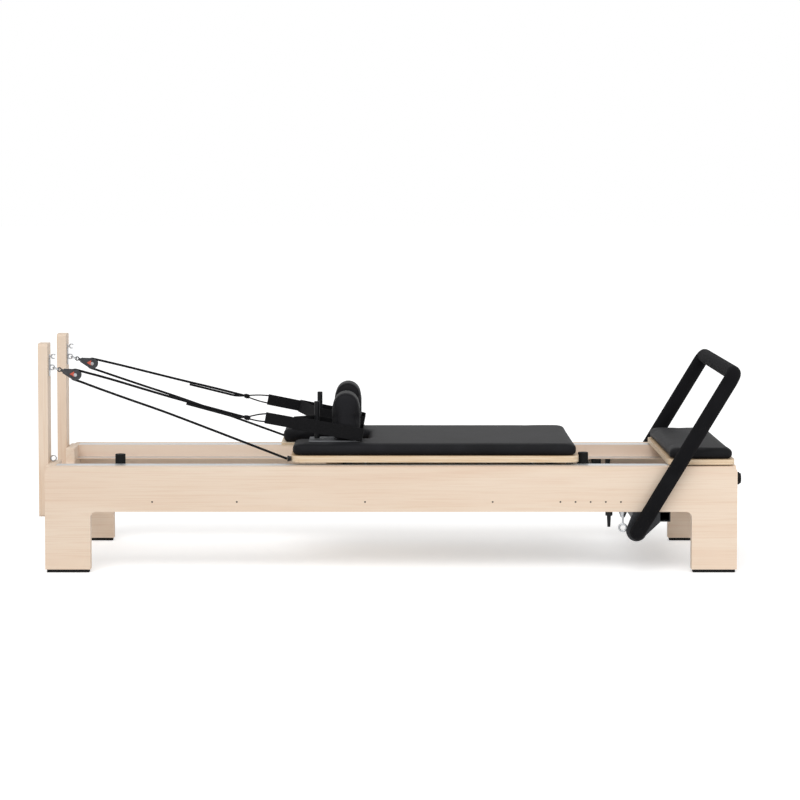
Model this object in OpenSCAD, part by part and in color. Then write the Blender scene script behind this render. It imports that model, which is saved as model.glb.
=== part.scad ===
/* [Frame] */
// Length of the frame over its end boards
frame_l = 2290; // [1950:10:2750]
// Width of the frame over its side panels
frame_w = 660; // [560:5:790]
// Thickness of the side panels and end boards
board_t = 32; // [27:1:38]
// Height of the rails' top above the floor
rail_top = 352; // [300:1:422]
// Depth of each rail
rail_h = 150; // [130:1:180]
// Width of each leg
leg_w = 150; // [125:1:180]
// Corner radius of the side panels
panel_r = 20; // [8:1:24]
// Thickness of the rubber under each leg
rubber_t = 10; // [6:1:14]
// Width of the notch in the head end board
notch_w = 300; // [200:5:360]
// Depth of the notch in the head end board
notch_h = 57; // [40:1:68]
// Diameter of the bumpers on the foot end
bumper_d = 42; // [30:1:50]
// Thickness of the bumpers on the foot end
bumper_t = 22; // [15:1:26]

/* [Rope posts] */
// Width of each post
post_w = 70; // [60:1:84]
// Thickness of each post
post_t = 32; // [27:1:38]
// Height of the posts above the rails
post_rise = 401; // [330:1:480]
// Length of each post below the rails' top
post_drop = 180; // [150:1:190]
// Distance from a panel's outer face to its post's middle
post_inset = 118; // [100:1:140]
// Corner radius of the posts
post_r = 10; // [6:1:16]

/* [Pulleys] */
// Distance from a post's top down to its pulley eye
eye_drop = 82; // [70:1:96]
// Distance from the eye to the wheel's middle, along the frame
pulley_reach = 78; // [74:1:96]
// Distance from the eye down to the wheel's middle
pulley_fall = 25; // [20:1:30]
// Radius of the pulley wheel
sheave_r = 17.5; // [16:0.5:20]
// Width of the pulley wheel
sheave_w = 10; // [9:0.5:12]
// Diameter of the ropes
rope_d = 7; // [6:0.5:8]

/* [Tracks] */
// Width of each track's top
track_w = 46; // [40:1:55]
// Height of each track
track_h = 46; // [42:1:55]
// Wall of the tracks
track_wall = 3; // [2:0.5:4]
// Width of the ledge that the wheels run on
ledge_w = 37; // [33:1:44]
// Thickness of the ledge
ledge_t = 4; // [3:0.5:5]
// Radius of the rubber stops
stop_r = 17; // [14:1:18]
// Height of the stops at the head end
head_stop_h = 72; // [64:1:86]
// Height of the stops at the foot end
foot_stop_h = 78; // [68:1:93]

/* [Carriage] */
// Length of the carriage
carriage_l = 958; // [800:2:1100]
// Distance from the frame's outer faces in to the carriage's edges
carriage_inset = 40; // [24:1:60]
// Thickness of the carriage's base
base_t = 21; // [18:1:25]
// Gap between the rails' top and the carriage's base
base_gap = 9; // [7:1:12]
// Corner radius of the carriage
carriage_r = 30; // [20:1:36]
// Distance from the frame's foot end to the carriage
foot_gap = 520; // [500:2:620]
// Travel of the carriage
travel = 555; // [460:5:666]
// Thickness of the carriage's pad
pad_t = 40; // [33:1:48]
// Distance that the pad lies inside the base's edge
pad_inset = 4; // [2:1:8]
// Radius of the running wheels
wheel_r = 23; // [20:0.5:24]
// Width of the running wheels
wheel_w = 20; // [17:1:22]
// Radius of the guide rollers
roller_r = 14; // [12:0.5:15]
// Height of the guide rollers
roller_h = 20; // [17:1:24]
// Distance from the carriage's head edge to the first axle
head_axle = 188; // [160:1:220]
// Distance from the carriage's foot edge to the last axle
foot_axle = 94; // [80:1:110]
// Depth of the battens under the carriage
batten_h = 60; // [50:1:64]
// Thickness of the battens
batten_t = 28; // [24:1:33]

/* [Shoulder rests] */
// Length of each rest along the frame
rest_l = 94; // [80:1:112]
// Width of each rest
rest_w = 130; // [108:1:150]
// Height of each rest above its plate
rest_h = 164; // [137:1:196]
// Distance from the carriage's head edge to the rests
rest_x = 135; // [120:1:162]
// Distance from the middle of the carriage to a rest's middle
rest_y = 175; // [170:1:190]
// Thickness of the rests' steel plates
plate_t = 4; // [3:0.5:6]
// Diameter of the strap pegs
peg_d = 18; // [15:1:22]
// Height of the strap pegs above their plate
peg_h = 125; // [104:1:150]
// Distance from the carriage's head edge to the pegs
peg_x = 83; // [76:1:92]
// Distance from the middle of the carriage to a peg
peg_y = 158; // [152:1:166]

/* [Headrest] */
// Length of the headrest
head_l = 271; // [226:1:290]
// Width of the headrest
head_w = 196; // [160:1:198]
// Length that stands out past the carriage's edge
head_out = 43; // [36:1:52]
// Thickness of the headrest's board
head_board_t = 12; // [10:1:15]
// Thickness of the headrest's cushion
head_cushion_t = 50; // [42:1:60]

/* [Springs] */
// Number of springs
spring_n = 5; // [3:1:5]
// Distance between two springs
spring_pitch = 70; // [58:1:78]
// Outer diameter of the springs
spring_d = 22; // [18:1:26]
// Radius of the spring bar
spring_bar_r = 8; // [6.5:0.5:9.5]
// Distance between two notches for the spring bar
notch_pitch = 50; // [42:1:60]
// Notch that holds the spring bar, counted from the head end
notch_used = 3; // [2:1:4]

/* [Foot bar] */
// Outer diameter of the padded bar
bar_d = 50; // [42:1:58]
// Diameter of the steel tube inside the padding
tube_d = 32; // [26:1:38]
// Wall of the steel tube
tube_wall = 2.5; // [2:0.5:4]
// Distance from the pivot to the crossbar's middle
bar_l = 612; // [540:1:730]
// Lean of the bar towards the foot end, in degrees
bar_lean = 31; // [20:1:38]
// Gap between a panel and the padded bar
bar_gap = 5; // [4:1:8]
// Distance from the frame's foot end to the pivots
pivot_x = 333; // [320:1:400]
// Distance from the rails' underside down to the pivots
pivot_drop = 64; // [56:1:76]
// Radius of the ears round the pivots
ear_r = 34; // [29:1:38]
// Thickness of the ears
ear_t = 10; // [8:1:12]
// Width of the cross beam
beam_w = 121; // [100:1:140]
// Height of the cross beam
beam_h = 34; // [28:1:40]
// Radius of the clamp knobs' studs
stud_r = 6; // [5:0.5:7]

/* [Foot platform] */
// Length of the platform
platform_l = 221; // [185:1:224]
// Distance from the frame's outer faces in to the platform's edges
platform_inset = 20; // [12:1:40]
// Thickness of the platform's base
platform_t = 17; // [14:1:21]
// Thickness of the platform's pad
platform_pad_t = 37; // [31:1:44]
// Thickness of the spacers under the platform
spacer_t = 4; // [3:1:6]

/* [Hidden] */
$fn = 48;
clear = 0.3;         // gap between pieces that move past each other
run_gap = 0.05;      // radial clearance of a shaft in its bore
eps = 0.5;           // a cut runs this far past a face

// Along the frame: the middle is set so that posts and bumpers end equally far out
mid_x = (post_t - bumper_t) / 2;
head_x = mid_x - frame_l / 2;
foot_x = mid_x + frame_l / 2;
face_y = frame_w / 2;
inner_y = face_y - board_t;
carriage_w = frame_w - 2 * carriage_inset;
platform_w = frame_w - 2 * platform_inset;
rail_bottom = rail_top - rail_h;

post_y = face_y - post_inset;
post_top = rail_top + post_rise;
eye_z = post_top - eye_drop;
eye_x = head_x + 10.8;
pulley_tilt = atan2(pulley_fall, pulley_reach);
pulley_d = norm([pulley_reach, pulley_fall]);
sheave_root = sheave_r - 5;
sheave_pin_r = 4;
cheek_t = 3;

wall_y = inner_y - track_w;
ledge_y = wall_y - ledge_w / 2;
ledge_z = rail_top - track_h + ledge_t;
axle_z = ledge_z + clear + wheel_r;
axle_r = 5;
roller_y = wall_y - clear - roller_r;
roller_pin_r = 4;
roller_z = ledge_z + 6;

base_z = rail_top + base_gap;
pad_z = base_z + base_t;
pad_top = pad_z + pad_t;
foot_edge = foot_x - foot_gap;
head_edge = foot_edge - carriage_l;
axle_x = [head_edge + head_axle, foot_edge - foot_axle];
roller_x = [axle_x[0] + 60, axle_x[1] - 60];
batten_y = wall_y - ledge_w - 2;
batten_x = [head_edge + 115, foot_edge - 37];
head_stop_x = head_edge - travel - clear - stop_r;
foot_stop_x = foot_edge + clear + stop_r;

plate_z = pad_top + clear;
plate_top = plate_z + plate_t;
rest_x0 = head_edge + rest_x;
plate_x = [head_edge + peg_x - 25, rest_x0 + rest_l];
plate_y = [rest_y - rest_w / 2 + 8, rest_y + rest_w / 2 - 8];
rest_bolt_r = 4;
rest_bolt_x = [plate_x[0] + 45, plate_x[1] - 20];

hinge_r = 4.2;
hinge_z = pad_z + hinge_r + clear;
head_board_z = hinge_z + hinge_r + clear;
head_x0 = head_edge - head_out;
head_x1 = head_x0 + head_l;
recess_x = head_x1 + 20;
recess_w = head_w + 12;

spring_z = rail_top - track_h - 24;
bar_bracket_t = 4;
screw_z = rail_bottom + 33;
screw_r = 3;
five_x = foot_x - 585;
spring_bar_x = five_x + notch_used * notch_pitch;
anchor_x = head_edge + 480;
panel_screw_x = concat(
    [head_x + 355, head_x + 635, foot_x - 1231, foot_x - 809],
    [for (i = [0:4]) five_x + i * notch_pitch]);

bar_y = face_y + bar_gap + bar_d / 2;
pivot = [foot_x - pivot_x, rail_bottom - pivot_drop];
ear_y = face_y + 2;
hub_y = ear_y + clear;
bend_r = bar_d / 2 + 5;
beam_x = pivot[0] - 8;
bolt_z = [rail_top - 140, rail_top - 80];
bolt_r = 4;

platform_z = rail_top + spacer_t;
platform_x = foot_x - 5 - platform_l;

// Route of each rope: from its socket on the carriage, round the pulley, to its knot
near_run = [
    [-341.4, -270, 371], [-400, -265, 393], [-520, -255, 438], [-640, -246, 483], [-760, -236, 527],
    [-880, -227, 568], [-980, -219, 603], [-1030, -213, 621], [-1057, -212, 630],
    [-1063, -212, 634], [-1067, -212, 640], [-1068, -212, 647], [-1065.4, -212, 654.2], [-1061.4, -212, 660.3],
    [-1054, -212, 663], [-1047, -212, 662], [-1020, -214, 655], [-940, -219, 634], [-840, -226, 605],
    [-740, -233, 576], [-640, -239, 549], [-560, -245, 528], [-484, -249, 508]];
far_run = [
    [-341.4, 270, 371], [-400, 265, 393], [-520, 255, 438], [-640, 246, 483], [-760, 236, 527],
    [-880, 227, 568], [-980, 219, 603], [-1030, 213, 621], [-1057, 212, 630],
    [-1063, 212, 634], [-1067, 212, 640], [-1068, 212, 647], [-1065.4, 212, 654.2], [-1061.4, 212, 660.3],
    [-1054, 212, 663], [-1047, 212, 662], [-1020, 213, 656], [-940, 214, 637], [-840, 215, 612],
    [-740, 216, 587], [-640, 217, 563], [-580, 218, 548], [-515, 220, 531]];

// The runs above suit the sizes as written; each end follows its pulley, its socket or its strap
pulley_shift = [eye_x + pulley_reach + 1051.2, post_y - 212, eye_z - pulley_fall - 646];
socket_shift = [head_edge + 328, carriage_w / 2 - 290, base_z + base_t / 2 - 371.5];
strap_shift = [rest_x0 + rest_l + 99, rest_y + rest_w / 2 - 240, plate_top - 426.3];
lower_points = 12;
function sided(shift, y) = [shift[0], sign(y) * shift[1], shift[2]];
function fitted(run) = [
    for (i = [0:len(run) - 1])
        let (p = run[i],
             end = i < lower_points ? run[0] : run[len(run) - 1],
             end_shift = i < lower_points ? socket_shift : strap_shift,
             w = max(0, min(1, (p[0] + 1047) / (end[0] + 1047))))
        p + sided((1 - w) * pulley_shift + w * end_shift, p[1])];
near_route = fitted(near_run);
far_route = fitted(far_run);
near_knot = [-475, -250, 506] + sided(strap_shift, -1);
far_knot = [-506, 220, 529] + sided(strap_shift, 1);

// Straps: the outer foot-end corner of each loop, its slope and its width
strap_foot_x = rest_x0 + rest_l + 9;
strap_t = 3.5;
strap_w = 44;
strap_end_w = 38;

// ---- shapes used by several pieces ----

module near() mirror([0, 1, 0]) children();
module both() { children(); near() children(); }

// Rectangle with round corners, centred
module rounded(l, w, r) {
    square([l - 2 * r, w], center = true);
    square([l, w - 2 * r], center = true);
    for (x = [-1, 1], y = [-1, 1]) translate([x * (l / 2 - r), y * (w / 2 - r)]) circle(r);
}

// Outline drawn in X and Z, made solid from y towards the middle of the frame
module side_slab(y, t) translate([0, y, 0]) rotate([90, 0, 0]) linear_extrude(t) children();

// Outline drawn in Y and Z, made solid from x towards the foot end
module end_slab(x, t) translate([x, 0, 0]) rotate([90, 0, 90]) linear_extrude(t) children();

// Round rod along Y from y0 to y1
module rod_y(x, z, r, y0, y1) translate([x, y0, z]) rotate([-90, 0, 0]) cylinder(h = y1 - y0, r = r);

// Ring of round wire, standing in the X and Z plane
module wire_ring(big_r, wire_r, angle = 360)
    rotate([90, 0, 0]) rotate_extrude(angle = angle) translate([big_r, 0]) circle(wire_r, $fn = 24);

function unit(v) = v / norm(v);
function along(route, i) = unit(route[min(i + 1, len(route) - 1)] - route[max(i - 1, 0)]);
function rope_rings(route, r, sides) = [
    for (i = [0:len(route) - 1])
        let (t = along(route, i), across = unit(cross([0, 1, 0], t)), up = cross(t, across))
        for (k = [0:sides - 1])
            route[i] + r * (cos(360 * k / sides) * across + sin(360 * k / sides) * up)];

// Tube swept along a route
module rope_along(route, d, sides = 8) {
    last = (len(route) - 1) * sides;
    polyhedron(
        rope_rings(route, d / 2, sides),
        concat(
            [[for (k = [0:sides - 1]) k]],
            [for (i = [0:len(route) - 2], k = [0:sides - 1]) [
                i * sides + k, (i + 1) * sides + k,
                (i + 1) * sides + (k + 1) % sides, i * sides + (k + 1) % sides]],
            [[for (k = [sides - 1:-1:0]) last + k]]));
}

// ---- frame ----

module panel_outline() {
    difference() {
        union() {
            translate([mid_x, (rail_top + rubber_t) / 2])
                rounded(frame_l, rail_top - rubber_t, panel_r);
            for (x = [head_x, foot_x - leg_w]) translate([x, rubber_t]) square([leg_w, 2 * panel_r]);
        }
        translate([mid_x, rail_bottom / 2 - panel_r])
            rounded(frame_l - 2 * leg_w, rail_bottom + 2 * panel_r, panel_r);
    }
}

module side_panel() {
    difference() {
        side_slab(face_y, board_t) panel_outline();
        for (x = panel_screw_x) rod_y(x, screw_z, screw_r + run_gap, inner_y + 4, face_y + eps);
    }
}

module near_side_panel() color([0.91, 0.82, 0.73]) near() side_panel();
module far_side_panel() color([0.91, 0.82, 0.73]) side_panel();

module end_board(x) {
    translate([x, -inner_y, rail_bottom]) cube([board_t, 2 * inner_y, rail_h]);
}

module post_bolt_holes(r, x0, x1) {
    for (z = bolt_z) translate([x0, post_y, z]) rotate([0, 90, 0]) cylinder(h = x1 - x0, r = r);
}

module head_end_board() color([0.88, 0.79, 0.70]) difference() {
    end_board(head_x);
    end_slab(head_x - eps, board_t + 2 * eps)
        translate([0, rail_top]) rounded(notch_w, 2 * notch_h, 14);
    both() post_bolt_holes(bolt_r + run_gap, head_x - eps, head_x + board_t + eps);
}

module foot_end_board() color([0.88, 0.79, 0.70]) end_board(foot_x - board_t);

module post() {
    difference() {
        end_slab(head_x - post_t, post_t)
            translate([post_y, (post_top + rail_top - post_drop) / 2])
                rounded(post_w, post_rise + post_drop, post_r);
        post_bolt_holes(bolt_r + run_gap, head_x - post_t - eps, head_x + eps);
        post_bolt_holes(11, head_x - post_t - eps, head_x - post_t + 6);
    }
}

module near_post() color([0.91, 0.82, 0.73]) near() post();
module far_post() color([0.91, 0.82, 0.73]) post();

module post_bolts() color([0.30, 0.30, 0.31]) both() {
    post_bolt_holes(bolt_r, head_x - post_t + 6, head_x + board_t + 9);
    post_bolt_holes(10, head_x - post_t + 2, head_x - post_t + 6);
    post_bolt_holes(8, head_x + board_t, head_x + board_t + 6);
}

module rubber_feet() color([0.10, 0.10, 0.10]) both() {
    for (x = [head_x + leg_w / 2, foot_x - leg_w / 2])
        translate([x, face_y - board_t / 2, 0]) linear_extrude(rubber_t) rounded(leg_w - 10, board_t - 4, 4);
}

module track() {
    l = frame_l - 2 * board_t;
    translate([head_x + board_t, 0, 0]) difference() {
        union() {
            translate([0, wall_y, rail_top - track_h]) cube([l, track_w, track_h]);
            translate([0, wall_y - ledge_w, rail_top - track_h]) cube([l, ledge_w + eps, ledge_t]);
        }
        translate([-eps, wall_y + track_wall, rail_top - track_h + track_wall])
            cube([l + 2 * eps, track_w - 2 * track_wall, track_h - 2 * track_wall]);
    }
}

module tracks() color([0.80, 0.81, 0.82]) both() track();

module panel_screws() color([0.16, 0.15, 0.15]) both() {
    for (x = panel_screw_x) rod_y(x, screw_z, screw_r, inner_y + 4, face_y - 1.5);
}

module rubber_stops() color([0.10, 0.10, 0.11]) near() {
    translate([head_stop_x, ledge_y, ledge_z]) cylinder(h = head_stop_h, r = stop_r);
    translate([foot_stop_x, ledge_y, ledge_z]) cylinder(h = foot_stop_h, r = stop_r);
}

module foot_end_bumpers() color([0.10, 0.10, 0.11]) both()
    translate([foot_x, face_y - 80, rail_top - 49]) rotate([0, 90, 0]) {
        cylinder(h = bumper_t - 5, r = bumper_d / 2);
        translate([0, 0, bumper_t - 5]) cylinder(h = 5, r = bumper_d / 2 - 4);
    }

// ---- post hardware ----

module post_hooks() color([0.62, 0.62, 0.63]) both() translate([head_x, post_y, post_top - 45]) {
    rotate([0, 90, 0]) cylinder(h = 2, r = 8);
    rotate([0, 90, 0]) cylinder(h = 9, r = 2.5);
    translate([15, 0, 0]) rotate([0, -30, 0]) wire_ring(7, 2.5, 270);
}

module eye_plates() color([0.75, 0.75, 0.76]) both() translate([head_x, post_y, eye_z]) {
    translate([0, -12, -28]) cube([3, 24, 57]);
    translate([eye_x - head_x, 0, 0]) wire_ring(8, 2.5);
}

// A pulley's own frame: the origin is the eye and +X points at the wheel's middle
module on_pulley() translate([eye_x, post_y, eye_z]) rotate([0, pulley_tilt, 0]) children();

module shackles() color([0.30, 0.31, 0.33]) both() on_pulley() {
    translate([13, 0, 0]) rotate([90, 0, 0]) wire_ring(10.5, 2.2);
}

module cheek_outline() {
    slope = acos((sheave_r + 1.5 - 9) / (pulley_d - 46));
    circle(sheave_r + 1.5);
    translate([46 - pulley_d, 0]) circle(9);
    polygon([for (s = [-1, 1], big = [0, 1])
        let (r = 0.98 * ((s > 0) == (big > 0) ? sheave_r + 1.5 : 9), x = (s > 0) == (big > 0) ? 0 : 46 - pulley_d)
        [x - r * cos(slope), s * r * sin(slope)]]);
}

module pulley_block() {
    gap = sheave_w / 2 + clear;
    on_pulley() {
        translate([25, 0, 0]) wire_ring(6, 2);
        translate([30, 0, 0]) rotate([0, 90, 0]) cylinder(h = 10, r = 5);
        translate([39, -gap - cheek_t, -8]) cube([12, 2 * (gap + cheek_t), 16]);
        translate([pulley_d, 0, 0]) {
            for (s = [-1, 1]) translate([0, s * (gap + cheek_t / 2) + cheek_t / 2, 0])
                rotate([90, 0, 0]) linear_extrude(cheek_t) cheek_outline();
            rod_y(0, 0, sheave_pin_r, -gap - cheek_t - 1.5, gap + cheek_t + 1.5);
        }
    }
}

module pulley_blocks() color([0.12, 0.12, 0.12]) both() pulley_block();

module sheave() {
    h = sheave_w / 2;
    bore = sheave_pin_r + run_gap;
    on_pulley() translate([pulley_d, 0, 0]) rotate([90, 0, 0]) rotate_extrude()
        polygon([[bore, -h], [sheave_r, -h], [sheave_r, 0.8 - h], [sheave_root, 2.4 - h],
                 [sheave_root, h - 2.4], [sheave_r, h - 0.8], [sheave_r, h], [bore, h]]);
}

module near_sheave() color([0.18, 0.18, 0.18]) near() sheave();
module far_sheave() color([0.18, 0.18, 0.18]) sheave();

module tether_ring() color([0.62, 0.62, 0.63]) near() translate([head_x, post_y - 10, rail_top + 12]) {
    rotate([0, 90, 0]) cylinder(h = 3, r = 5);
    translate([11.5, 0, 0]) wire_ring(9, 2.2);
}

module near_rope() color([0.08, 0.08, 0.08]) rope_along(near_route, rope_d);
module far_rope() color([0.08, 0.08, 0.08]) rope_along(far_route, rope_d);

// ---- springs ----

module spring_bar_bracket() {
    l = 5 * notch_pitch;
    low = screw_z - 10;
    side_slab(inner_y, bar_bracket_t) difference() {
        translate([five_x - notch_pitch / 2, low]) square([l, spring_z + 14 - low]);
        for (i = [0:4]) translate([five_x + i * notch_pitch, spring_z]) {
            circle(spring_bar_r + 0.2);
            translate([-spring_bar_r - 0.2, 0]) square([2 * spring_bar_r + 0.4, 20]);
        }
    }
}

module spring_bar_brackets() color([0.45, 0.46, 0.47]) both() spring_bar_bracket();

module spring_bar() color([0.70, 0.71, 0.72])
    rod_y(spring_bar_x, spring_z, spring_bar_r, eps - inner_y, inner_y - eps);

module spring_rows() {
    for (i = [0:spring_n - 1]) translate([0, (i - (spring_n - 1) / 2) * spring_pitch, spring_z]) children();
}

module springs() color([0.55, 0.56, 0.58]) spring_rows() {
    x0 = anchor_x + 12;
    x1 = spring_bar_x - 75;
    translate([anchor_x - 6, 0, 0]) rotate([0, 90, 0]) cylinder(h = 2, r = 6);
    translate([anchor_x - 5, 0, 0]) rotate([0, 90, 0]) cylinder(h = x0 - anchor_x + 6, r = 2.5);
    translate([x0, 0, 0]) rotate([0, 90, 0]) cylinder(h = x1 - x0, r = spring_d / 2);
    translate([x1, 0, 0]) rotate([0, 90, 0]) cylinder(h = 50, r = spring_d / 2 + 2);
    translate([x1 + 49, 0, 0]) rotate([0, 90, 0]) cylinder(h = 15, r = 2.5);
    translate([spring_bar_x, 0, 0]) wire_ring(spring_bar_r + 3, 2.5);
}

module spring_anchor() color([0.45, 0.46, 0.47]) difference() {
    w = spring_n * spring_pitch;
    union() {
        translate([anchor_x - 4, -w / 2, spring_z - 14]) cube([4, w, base_z - spring_z + 14]);
        translate([anchor_x - 4, -w / 2, base_z - 4]) cube([40, w, 4]);
    }
    spring_rows() translate([anchor_x - 5, 0, 0]) rotate([0, 90, 0]) cylinder(h = 6, r = 2.8);
}

// ---- foot bar ----

module cross_beam() color([0.12, 0.12, 0.12]) difference() {
    translate([beam_x, ear_t - ear_y, rail_bottom - beam_h]) cube([beam_w, 2 * (ear_y - ear_t), beam_h]);
    translate([beam_x + 3, ear_t - ear_y - eps, rail_bottom - beam_h + 3])
        cube([beam_w - 6, 2 * (ear_y - ear_t + eps), beam_h - 6]);
}

module foot_bar_ears() color([0.25, 0.25, 0.26]) both() difference() {
    side_slab(ear_y, ear_t) {
        translate(pivot) circle(ear_r);
        polygon([pivot + 0.98 * ear_r * [-cos(22), sin(22)], [pivot[0] - 11, rail_bottom],
                 [pivot[0] + 78, rail_bottom], [pivot[0] + 78, rail_bottom - beam_h],
                 pivot + 0.98 * ear_r * [cos(28), -sin(28)]]);
    }
    rod_y(pivot[0], pivot[1], stud_r + run_gap, ear_y - ear_t - eps, ear_y + eps);
}

// Solid U of a round bar: two arms up from the pivots, two bends and the crossbar
module u_bar(r, low = 0) {
    both() {
        translate([0, bar_y, low]) cylinder(h = bar_l - bend_r - low, r = r);
        translate([0, bar_y - bend_r, bar_l - bend_r]) rotate([90, 0, 90])
            rotate_extrude(angle = 90) translate([bend_r, 0]) circle(r);
    }
    rod_y(0, bar_l, r, bend_r - bar_y, bar_y - bend_r);
}

module on_foot_bar() translate([pivot[0], 0, pivot[1]]) rotate([0, bar_lean, 0]) children();

module foot_bar_tube() color([0.20, 0.20, 0.21]) on_foot_bar() difference() {
    union() {
        u_bar(tube_d / 2);
        both() rod_y(0, 0, tube_d / 2 + 2, hub_y, bar_y);
    }
    u_bar(tube_d / 2 - tube_wall, tube_d / 2 + 4);
    both() rod_y(0, 0, stud_r + run_gap, hub_y - eps, bar_y - 8);
}

module foot_bar_padding() color([0.07, 0.07, 0.07]) on_foot_bar() difference() {
    union() {
        u_bar(bar_d / 2);
        both() translate([0, bar_y, 0]) sphere(bar_d / 2);
    }
    u_bar(tube_d / 2 + run_gap);
    both() rod_y(0, 0, tube_d / 2 + 2 + run_gap, face_y, bar_y);
}

module clamp_knob() translate([pivot[0], 0, pivot[1]]) {
    y1 = ear_y - ear_t - clear;
    rod_y(0, 0, stud_r, y1 - 1, bar_y - 8.5);
    rod_y(0, 0, 16, y1 - 18, y1);
    for (a = [0:60:300]) rotate([0, a, 0]) rod_y(15, 0, 6, y1 - 18, y1 - 4);
}

module near_clamp_knob() color([0.12, 0.12, 0.12]) near() clamp_knob();
module far_clamp_knob() color([0.12, 0.12, 0.12]) clamp_knob();

// ---- foot platform ----

module platform_plan(inset) translate([platform_x + platform_l / 2, 0])
    rounded(platform_l - 2 * inset, platform_w - 2 * inset, 22 - inset);

module platform_base() color([0.90, 0.80, 0.66])
    translate([0, 0, platform_z]) linear_extrude(platform_t) platform_plan(0);

module platform_pad() color([0.13, 0.13, 0.13])
    translate([0, 0, platform_z + platform_t]) linear_extrude(platform_pad_t) platform_plan(3);

module platform_spacers() color([0.10, 0.10, 0.10]) both()
    for (x = [platform_x + 28, platform_x + platform_l - 28])
        translate([x, inner_y - 20, rail_top]) cylinder(h = spacer_t, r = 14);

// ---- under the near rail ----

module hanger_peg() color([0.09, 0.09, 0.09])
    translate([five_x + 162, board_t / 2 - face_y, rail_bottom - 14]) {
        cylinder(h = 14, r = 12);
        translate([0, 0, -38]) cylinder(h = 39, r1 = 5, r2 = 7);
    }

module snap_hook() color([0.66, 0.66, 0.67])
    translate([spring_bar_x + 58, board_t / 2 - face_y, rail_bottom]) {
        translate([0, 0, -20 - clear]) cylinder(h = 20, r1 = 7, r2 = 15);
        translate([0, 0, -44]) cylinder(h = 25, r = 3);
        translate([0, 0, -55]) wire_ring(12, 3.5);
    }

// ---- carriage ----

module on_axles() for (x = axle_x) translate([x, 0, axle_z]) children();

module carriage_base() color([0.90, 0.80, 0.66]) difference() {
    translate([(head_edge + foot_edge) / 2, 0, base_z])
        linear_extrude(base_t) rounded(carriage_l, carriage_w, carriage_r);
    both() for (x = roller_x) translate([x, roller_y, base_z - eps])
        cylinder(h = 14 + eps, r = roller_pin_r + run_gap);
    rest_bolt_places() translate([0, 0, base_z - eps]) cylinder(h = base_t + 2 * eps, r = rest_bolt_r + run_gap);
}

module rest_bolt_places() both() for (x = rest_bolt_x) translate([x, rest_y, 0]) children();

module carriage_pad() color([0.13, 0.13, 0.13]) difference() {
    translate([(head_edge + foot_edge) / 2, 0, pad_z]) linear_extrude(pad_t)
        rounded(carriage_l - 2 * pad_inset, carriage_w - 2 * pad_inset, carriage_r - pad_inset);
    translate([(head_edge + recess_x) / 2 - 20, 0, pad_z - eps]) linear_extrude(pad_t + 2 * eps)
        rounded(recess_x - head_edge + 40, recess_w, 18);
    rest_bolt_places() translate([0, 0, pad_z - eps]) cylinder(h = pad_t + 2 * eps, r = rest_bolt_r + 0.5);
}

module carriage_battens() color([0.62, 0.50, 0.38]) difference() {
    z = base_z - batten_h;
    union() {
        both() translate([batten_x[0], batten_y - batten_t, z])
            cube([batten_x[1] - batten_x[0], batten_t, batten_h]);
        for (x = [batten_x[0], batten_x[1] - batten_t])
            translate([x, batten_t - batten_y - eps, base_z - batten_h / 2])
                cube([batten_t, 2 * (batten_y - batten_t + eps), batten_h / 2]);
    }
    both() on_axles() rod_y(0, 0, axle_r + run_gap, batten_y - 20, batten_y + eps);
}

module wheel_axles() color([0.66, 0.66, 0.67]) both() on_axles() {
    rod_y(0, 0, axle_r, batten_y - 20, ledge_y + wheel_w / 2 + 2);
    rod_y(0, 0, axle_r + 3, batten_y, ledge_y - wheel_w / 2 - clear);
    rod_y(0, 0, axle_r + 4, ledge_y + wheel_w / 2 + clear, ledge_y + wheel_w / 2 + 4);
}

module wheel(x) translate([x, 0, axle_z]) {
    difference() {
        rod_y(0, 0, wheel_r, ledge_y - wheel_w / 2, ledge_y + wheel_w / 2);
        rod_y(0, 0, axle_r + run_gap, ledge_y - wheel_w / 2 - eps, ledge_y + wheel_w / 2 + eps);
        rod_y(0, 0, wheel_r - 5, ledge_y + wheel_w / 2 - 4, ledge_y + wheel_w / 2 + eps);
    }
    difference() {
        rod_y(0, 0, axle_r + 4, ledge_y + wheel_w / 2 - 5, ledge_y + wheel_w / 2);
        rod_y(0, 0, axle_r + run_gap, ledge_y + wheel_w / 2 - 6, ledge_y + wheel_w / 2 + eps);
    }
}

module near_head_wheel() color([0.35, 0.35, 0.36]) near() wheel(axle_x[0]);
module near_foot_wheel() color([0.35, 0.35, 0.36]) near() wheel(axle_x[1]);
module far_head_wheel() color([0.35, 0.35, 0.36]) wheel(axle_x[0]);
module far_foot_wheel() color([0.35, 0.35, 0.36]) wheel(axle_x[1]);

module roller_bolts() color([0.66, 0.66, 0.67]) both() for (x = roller_x) translate([x, roller_y, 0]) {
    translate([0, 0, roller_z - 4]) cylinder(h = base_z + 13 - roller_z + 4, r = roller_pin_r);
    translate([0, 0, roller_z - 4]) cylinder(h = 4 - clear, r = roller_pin_r + 3);
    translate([0, 0, roller_z + roller_h + clear])
        cylinder(h = base_z - roller_z - roller_h - clear, r = roller_pin_r + 3);
}

module guide_roller(x) translate([x, roller_y, roller_z]) difference() {
    cylinder(h = roller_h, r = roller_r);
    translate([0, 0, -eps]) cylinder(h = roller_h + 2 * eps, r = roller_pin_r + run_gap);
}

module near_head_roller() color([0.85, 0.85, 0.82]) near() guide_roller(roller_x[0]);
module near_foot_roller() color([0.85, 0.85, 0.82]) near() guide_roller(roller_x[1]);
module far_head_roller() color([0.85, 0.85, 0.82]) guide_roller(roller_x[0]);
module far_foot_roller() color([0.85, 0.85, 0.82]) guide_roller(roller_x[1]);

module rope_sockets() color([0.14, 0.14, 0.14]) both()
    translate([head_edge - 12, carriage_w / 2 - 20, base_z + base_t / 2]) rotate([0, 90, 0]) {
        cylinder(h = 12, r = 8);
        cylinder(h = 6, r = 9.5);
    }

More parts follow.
